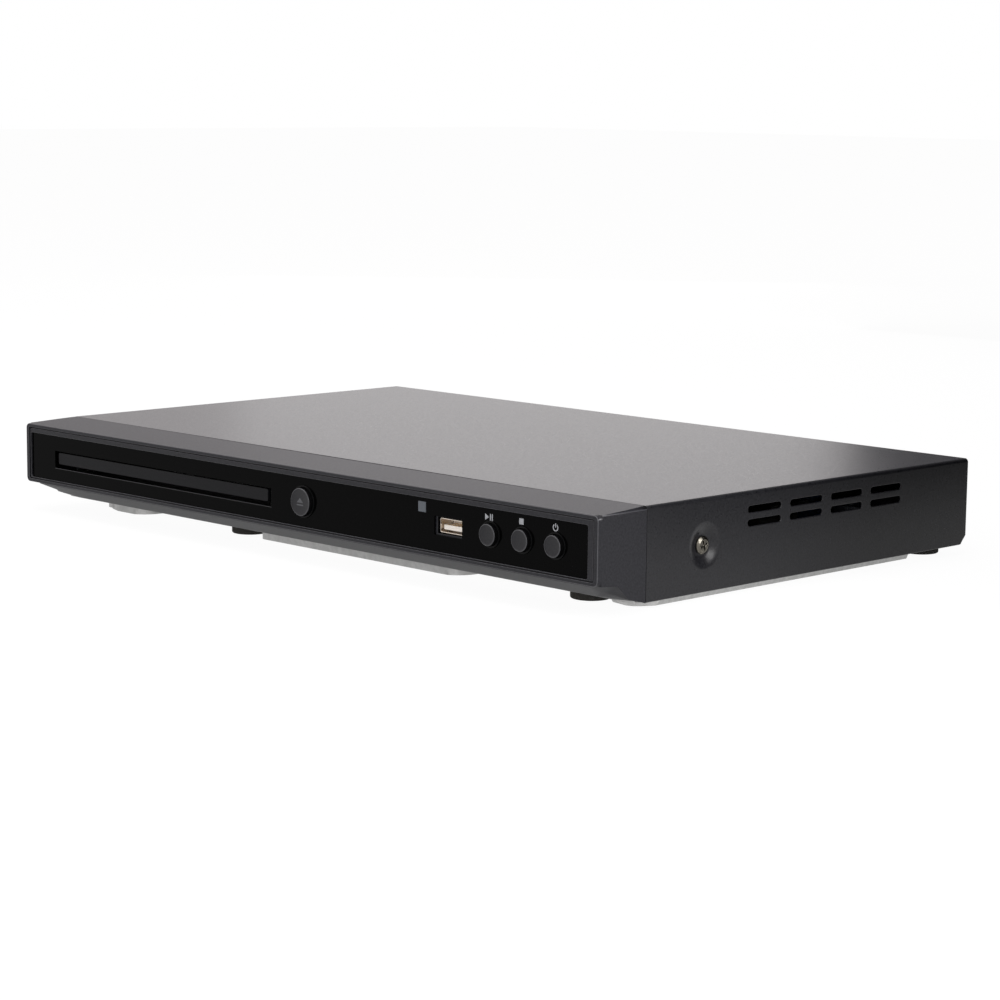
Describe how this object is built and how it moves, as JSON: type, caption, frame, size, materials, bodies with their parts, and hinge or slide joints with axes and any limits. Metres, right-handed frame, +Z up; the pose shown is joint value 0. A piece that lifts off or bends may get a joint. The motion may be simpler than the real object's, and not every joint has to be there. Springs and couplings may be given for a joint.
{
  "type": "dvd player",
  "caption": "Slim mains-powered disc player with a motor-driven front tray, a tilting laser deck, press buttons, a USB-A socket and rear audio and video jacks.",
  "frame": {"origin": "under the middle of the object's bounding box, on the table", "axes": "+X right seen from the front, +Y back, +Z up"},
  "size_m": [0.36, 0.2388, 0.0411],
  "materials": {
    "black_painted_steel": "fine textured, satin",
    "zinc_plated_steel": "dull",
    "dark_plastic": "satin",
    "black_gloss": "gloss",
    "button_grey": "satin",
    "window_lens": "gloss",
    "rubber": "matt",
    "screw_steel": "satin",
    "bright_steel": "polished",
    "tray_black": "satin",
    "loader_white": "satin",
    "gear_white": "satin",
    "motor_steel": "satin",
    "brass": "turned",
    "belt_rubber": "matt",
    "deck_grey": "satin",
    "pickup_grey": "satin",
    "lens_glass": "coated",
    "board_green": "satin",
    "board_tan": "satin",
    "black_chip": "satin",
    "capacitor_sleeve": "gloss",
    "transformer_tape": "satin",
    "heatsink_aluminium": "satin",
    "coil_blue": "satin",
    "usb_metal": "polished",
    "usb_tongue": "satin",
    "jack_ring": "polished",
    "jack_yellow": "satin",
    "jack_white": "satin",
    "jack_red": "satin",
    "ribbon": "satin",
    "lead_red": "satin"
  },
  "bodies": {
    "case": {"top_cover": "black_painted_steel", "bottom_chassis": "zinc_plated_steel", "rear_panel": "black_painted_steel", "front_bezel": "dark_plastic", "front_window": "black_gloss", "ir_window": "window_lens", "rubber_feet": "rubber", "side_screws": "screw_steel", "rear_screws": "screw_steel", "usb_shell": "usb_metal", "usb_tongue": "usb_tongue", "front_board": "board_green", "tact_switches": "black_chip", "ir_receiver": "black_chip", "loader_frame": "loader_white", "clamp_bridge": "zinc_plated_steel", "loader_screws": "screw_steel", "loading_motor": "motor_steel", "drive_belt": "belt_rubber", "main_board": "board_green", "main_chips": "black_chip", "main_capacitors": "capacitor_sleeve", "board_screws": "screw_steel", "power_board": "board_tan", "transformer": "transformer_tape", "power_capacitor": "capacitor_sleeve", "heatsink": "heatsink_aluminium", "mains_choke": "coil_blue", "rca_block": "black_chip", "rca_rings": "jack_ring", "rca_insert_video": "jack_yellow", "rca_insert_left": "jack_white", "rca_insert_right": "jack_red", "hdmi_socket": "bright_steel", "scart_socket": "black_chip", "mains_inlet": "black_chip", "mains_pins": "bright_steel", "front_ribbon": "ribbon", "deck_ribbon": "ribbon", "power_leads": "lead_red"},
    "tray": {"disc_tray": "tray_black", "tray_door": "button_grey"},
    "open_close_button": {"open_close_button": "button_grey"},
    "play_button": {"play_button": "button_grey"},
    "stop_button": {"stop_button": "button_grey"},
    "power_button": {"power_button": "button_grey"},
    "drive_gear": {"drive_gear": "gear_white"},
    "pulley_gear": {"pulley_gear": "gear_white"},
    "motor_pulley": {"motor_pulley": "brass"},
    "lift_slider": {"lift_slider": "gear_white"},
    "deck": {"traverse_frame": "deck_grey", "guide_rods": "bright_steel", "spindle_motor": "motor_steel", "sled_motor": "motor_steel"},
    "spindle": {"turntable": "deck_grey"},
    "clamp_puck": {"clamp_puck": "tray_black"},
    "sled": {"optical_pickup": "pickup_grey", "objective_lens": "lens_glass"},
    "sled_gear": {"sled_gear": "gear_white"},
    "sled_motor_gear": {"sled_motor_gear": "gear_white"}
  },
  "joints": [
    {"name": "tray_slide", "type": "slide", "parent": "case", "child": "tray", "axis": [0, -1, 0], "range_m": [0, 0.132]},
    {"name": "drive_gear_spin", "type": "hinge", "parent": "case", "child": "drive_gear", "pos_m": [-0.03, -0.0768, 0.02], "axis": [0, 0, 1], "range_deg": [-842, 0]},
    {"name": "pulley_gear_spin", "type": "hinge", "parent": "case", "child": "pulley_gear", "pos_m": [-0.04477, -0.07941, 0.016], "axis": [0, 0, 1], "range_deg": [0, 2163]},
    {"name": "motor_pulley_spin", "type": "hinge", "parent": "case", "child": "motor_pulley", "pos_m": [-0.078, -0.081, 0.015], "axis": [0, 0, 1], "range_deg": [0, 6700]},
    {"name": "deck_tilt", "type": "hinge", "parent": "case", "child": "deck", "pos_m": [-0.0772, 0.0422, 0.013], "axis": [1, 0, 0], "range_deg": [0, 2.5]},
    {"name": "lift_slide", "type": "slide", "parent": "case", "child": "lift_slider", "axis": [1, 0, 0], "range_m": [0, 0.01402]},
    {"name": "spindle_spin", "type": "hinge", "parent": "deck", "child": "spindle", "pos_m": [-0.0842, -0.0498, 0.024], "axis": [0, 0, 1], "continuous": true},
    {"name": "puck_spin", "type": "hinge", "parent": "case", "child": "clamp_puck", "pos_m": [-0.0842, -0.0498, 0.03], "axis": [0, 0, 1], "continuous": true},
    {"name": "sled_slide", "type": "slide", "parent": "deck", "child": "sled", "axis": [0, 1, 0], "range_m": [0, 0.034]},
    {"name": "sled_gear_spin", "type": "hinge", "parent": "deck", "child": "sled_gear", "pos_m": [-0.0434, -0.0178, 0.018], "axis": [0, 0, 1], "range_deg": [-407, 0]},
    {"name": "sled_motor_gear_spin", "type": "hinge", "parent": "deck", "child": "sled_motor_gear", "pos_m": [-0.0434, -0.004, 0.017], "axis": [0, 0, 1], "range_deg": [0, 929]},
    {"name": "open_close_press", "type": "slide", "parent": "case", "child": "open_close_button", "axis": [0, 1, 0], "range_m": [0, 0.0008], "stiffness_N_per_m": 900},
    {"name": "play_press", "type": "slide", "parent": "case", "child": "play_button", "axis": [0, 1, 0], "range_m": [0, 0.0008], "stiffness_N_per_m": 700},
    {"name": "stop_press", "type": "slide", "parent": "case", "child": "stop_button", "axis": [0, 1, 0], "range_m": [0, 0.0008], "stiffness_N_per_m": 700},
    {"name": "power_press", "type": "slide", "parent": "case", "child": "power_button", "axis": [0, 1, 0], "range_m": [0, 0.0008], "stiffness_N_per_m": 700}
  ],
  "couplings": [
    {"joint": "drive_gear_spin", "follows": "tray_slide", "rad_per_m": -111.11},
    {"joint": "pulley_gear_spin", "follows": "tray_slide", "rad_per_m": 285.71},
    {"joint": "motor_pulley_spin", "follows": "tray_slide", "rad_per_m": 884.79},
    {"joint": "lift_slide", "follows": "deck_tilt", "m_per_rad": 0.32086},
    {"joint": "puck_spin", "follows": "spindle_spin", "ratio": 1},
    {"joint": "sled_gear_spin", "follows": "sled_slide", "rad_per_m": -208.33},
    {"joint": "sled_motor_gear_spin", "follows": "sled_slide", "rad_per_m": 476.19}
  ]
}
